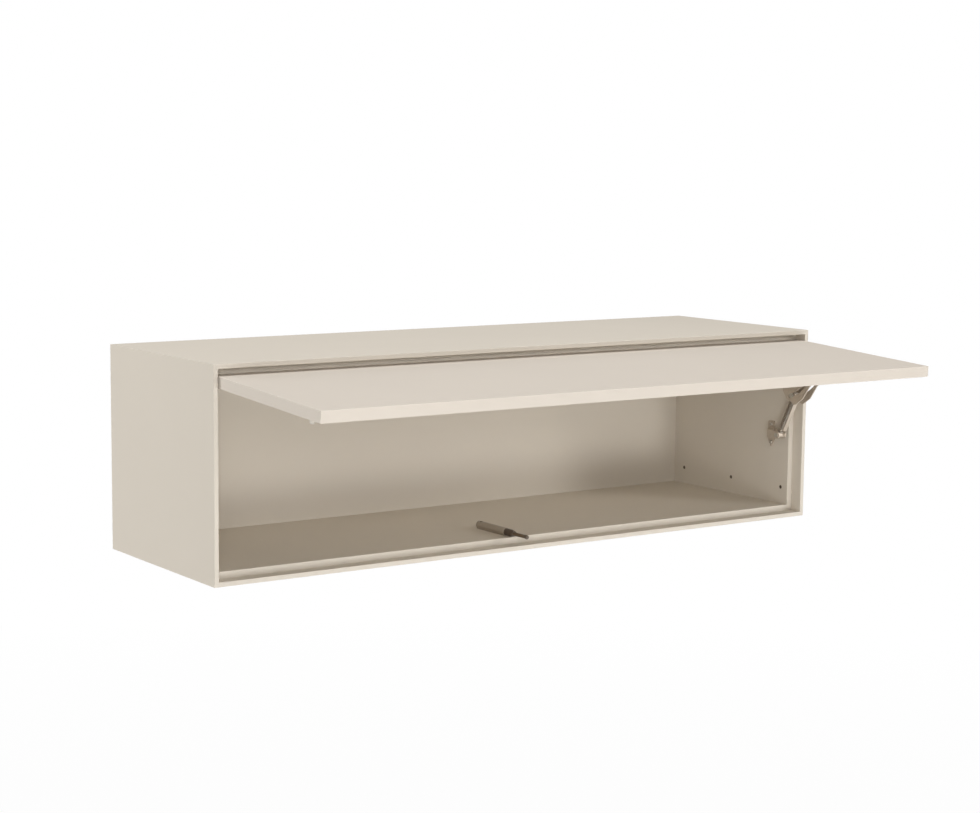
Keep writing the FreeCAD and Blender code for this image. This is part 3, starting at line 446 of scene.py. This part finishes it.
def cross_screw(whole, seat, way, length, head, rise, shank):
    """Adds one screw to a mesh: its head rests at seat, and way is where it looks."""
    screw = bmesh.new()
    profile = ((head * FLAT_RADIUS, 0), (head * BEND_RADIUS, rise * BEND_DEPTH),
               (head, rise * RIM_DEPTH), (head, rise), (shank, rise),
               (shank, rise + length - shank), (shank * POINT_RADIUS, rise + length))
    bmesh.ops.create_circle(screw, segments=SCREW_SIDES, radius=profile[0][0])
    rim = screw.edges[:]
    reach, half = head * CROSS_REACH, head * CROSS_HALF_WIDTH
    corners = []
    for quarter in range(4):
        turn = Matrix.Rotation(math.radians(90 * quarter), 3, "Z")
        for x, y in ((half, half), (half, reach), (-half, reach)):
            corners.append(screw.verts.new(turn @ Vector((x, y, 0))))
    cross = [screw.edges.new(ends) for ends in zip(corners, corners[1:] + corners[:1])]
    bmesh.ops.triangle_fill(screw, edges=rim + cross, use_beauty=True)
    for face in screw.faces[:]:
        if all(point in corners for point in face.verts):
            screw.faces.remove(face)
    points, bottom = drawn_on(screw, cross)
    bmesh.ops.translate(screw, verts=points, vec=(0, 0, -rise * CROSS_DEPTH))
    bmesh.ops.scale(screw, verts=points, vec=(CROSS_TAPER, CROSS_TAPER, 1))
    bmesh.ops.contextual_create(screw, geom=bottom)
    ring = rim
    for (radius, depth), (next_radius, next_depth) in zip(profile, profile[1:]):
        points, ring = drawn_on(screw, ring)
        growth = next_radius / radius
        bmesh.ops.translate(screw, verts=points, vec=(0, 0, depth - next_depth))
        bmesh.ops.scale(screw, verts=points, vec=(growth, growth, 1))
    bmesh.ops.contextual_create(screw, geom=ring)
    bmesh.ops.recalc_face_normals(screw, faces=screw.faces)
    for face in screw.faces:
        outside = face.calc_center_median().length > head * ROUNDED_FROM
        face.smooth = outside and len(face.verts) == 4
    aim = Matrix.Translation(seat + way * rise) @ way.to_track_quat("Z", "X").to_matrix().to_4x4()
    bmesh.ops.transform(screw, matrix=aim, verts=screw.verts)
    spare = bpy.data.meshes.new("one_screw")
    screw.to_mesh(spare)
    screw.free()
    whole.from_mesh(spare)
    bpy.data.meshes.remove(spare)


def screws_for(node, body, material, looks, sizes):
    """Puts a detailed screw in the place of each plain one of a node."""
    whole = bmesh.new()
    for points in solids_of(node):
        middle = sum(points, Vector()) / len(points)
        way = looks(middle)
        heights = [point.dot(way) for point in points]
        seat = middle + way * (max(heights) - middle.dot(way) - sizes["rise"])
        length = max(heights) - min(heights) - sizes["rise"]
        cross_screw(whole, seat, way, length, **sizes)
    made = finished_object(node.replace("screw", "cross_screw"), whole)
    made.data.materials.append(material)
    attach(made, body)
    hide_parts(node)


screw_steel = coated("screw_steel", drawn_metal,
                     {"Colour": (0.56, 0.52, 0.47, 1), "Dullness": 0.38, "Lines": 0.2,
                      "Fineness": ROLLED_ALONG_Z},
                     metallic=1.0, bump=TURNED_RELIEF)
dark_oxide = coated("dark_screws", drawn_metal,
                    {"Colour": (0.11, 0.08, 0.056, 1), "Dullness": 0.5, "Lines": 0.2,
                     "Fineness": ROLLED_ALONG_Z},
                    metallic=0.3, bump=TURNED_RELIEF)
BOARD_SCREW = {"head": 0.0036, "rise": 0.002, "shank": 0.002}
SIDE_SCREW = {"head": 0.0034, "rise": 0.0012, "shank": 0.0026}
for node, body, way in (("hinge_arm_screws", "casing", Vector((0, 0, -1))),
                        ("hinge_cup_screws", "flap", UNDER_FLAP),
                        ("stay_base_screws", "casing", Vector((-1, 0, 0))),
                        ("stay_fan_screws", "flap", UNDER_FLAP)):
    screws_for(node, body, screw_steel, lambda middle: way, BOARD_SCREW)
screws_for("latch_screw", "casing", dark_oxide,
           lambda middle: Vector((0, 0, 1)), BOARD_SCREW)
screws_for("side_screws", "casing", dark_oxide,
           lambda middle: Vector((-math.copysign(1, middle.x), 0, 0)), SIDE_SCREW)

# ---- push latch ----
# A turned barrel in bronze-brown enamel with a darker collar; the rod is bronzed steel and ends
# in a soft tip that meets the flap. The flap's two bumpers are milky domes stuck to its corners.

latch_bronze = coated("latch_bronze", sprayed_film,
                      {"Colour": (0.37, 0.31, 0.245, 1), "Peel": 0.8, "Sheen": 0.4}, metallic=0.1)
latch_dark = coated("latch_dark", sprayed_film,
                    {"Colour": (0.07, 0.046, 0.03, 1), "Peel": 0.8, "Sheen": 0.4})
rod_bronze = coated("rod_bronze", drawn_metal,
                    {"Colour": (0.16, 0.115, 0.075, 1), "Dullness": 0.36, "Lines": 0.5,
                     "Fineness": TURNED_ABOUT_Y},
                    metallic=0.6, bump=TURNED_RELIEF)
dress(latch_bronze, "latch_housing")
dress(latch_dark, "latch_collar")
dress(rod_bronze, "latch_rod")


def moulded_group():
    """Moulded plastic: a fine spark-eroded grain and faint flow marks."""
    group, given, result, place = surface_group(
        "moulded_grain", {"Colour": "Color", "Grain": "Float"})
    link = group.links.new
    grain = noise(group, place, Scale=2600.0, Detail=2.0, Roughness=0.7)
    flow = noise(group, place, Scale=55.0, Detail=3.0, Distortion=1.2)
    link(toned(group, given["Colour"], flow, (0.94, 1.04)), result["Colour"])
    link(ranged(group, grain, (0.2, 0.8), (0.45, 0.62)), result["Roughness"])
    link(combine(group, "MULTIPLY", grain, given["Grain"]), result["Height"])
    return group


moulded_grain = moulded_group()
soft_tip = coated("soft_tip", moulded_grain, {"Colour": (0.1, 0.075, 0.053, 1), "Grain": 0.8},
                  bump=0.00003)
dress(soft_tip, "latch_tip")
milky_dome = coated("clear_dome", moulded_grain, {"Colour": (0.6, 0.55, 0.485, 1), "Grain": 0.3},
                    bump=0.00001)
dress(milky_dome, "flap_bumpers")

# ---- wall hangers ----
# Moulded boxes in the upper rear corners, in a warm grey that goes with the lacquer, held on pegs
# in the side boards. Each has two adjusting screws, which raise and draw in its steel hook.

hanger_plastic = coated("hanger_plastic", moulded_grain,
                        {"Colour": (0.52, 0.49, 0.45, 1), "Grain": 1.0}, bump=0.00004)
dress(hanger_plastic, "hanger_box_left", "hanger_box_right")

BOX_HALF_WIDTH = 0.010
WELL_DEPTH = 0.0025
ADJUSTER_HALF_PITCH = 0.013
ADJUSTER_LENGTH = 0.0012
ADJUSTER = {"head": 0.0034, "rise": 0.0018, "shank": 0.001}
adjusters = bmesh.new()
for side, outward in (("left", -1), ("right", 1)):
    low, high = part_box("hanger_box_" + side)
    inner_face = low.x if outward > 0 else high.x
    for step in (-ADJUSTER_HALF_PITCH, ADJUSTER_HALF_PITCH):
        well = Vector((inner_face + outward * BOX_HALF_WIDTH, low.y + WELL_DEPTH,
                       (low.z + high.z) / 2 + step))
        cross_screw(adjusters, well, Vector((0, -1, 0)), ADJUSTER_LENGTH, **ADJUSTER)
hanger_adjusters = finished_object("hanger_adjusters", adjusters)
dress(screw_steel, "hanger_adjusters")
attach(hanger_adjusters, "casing")
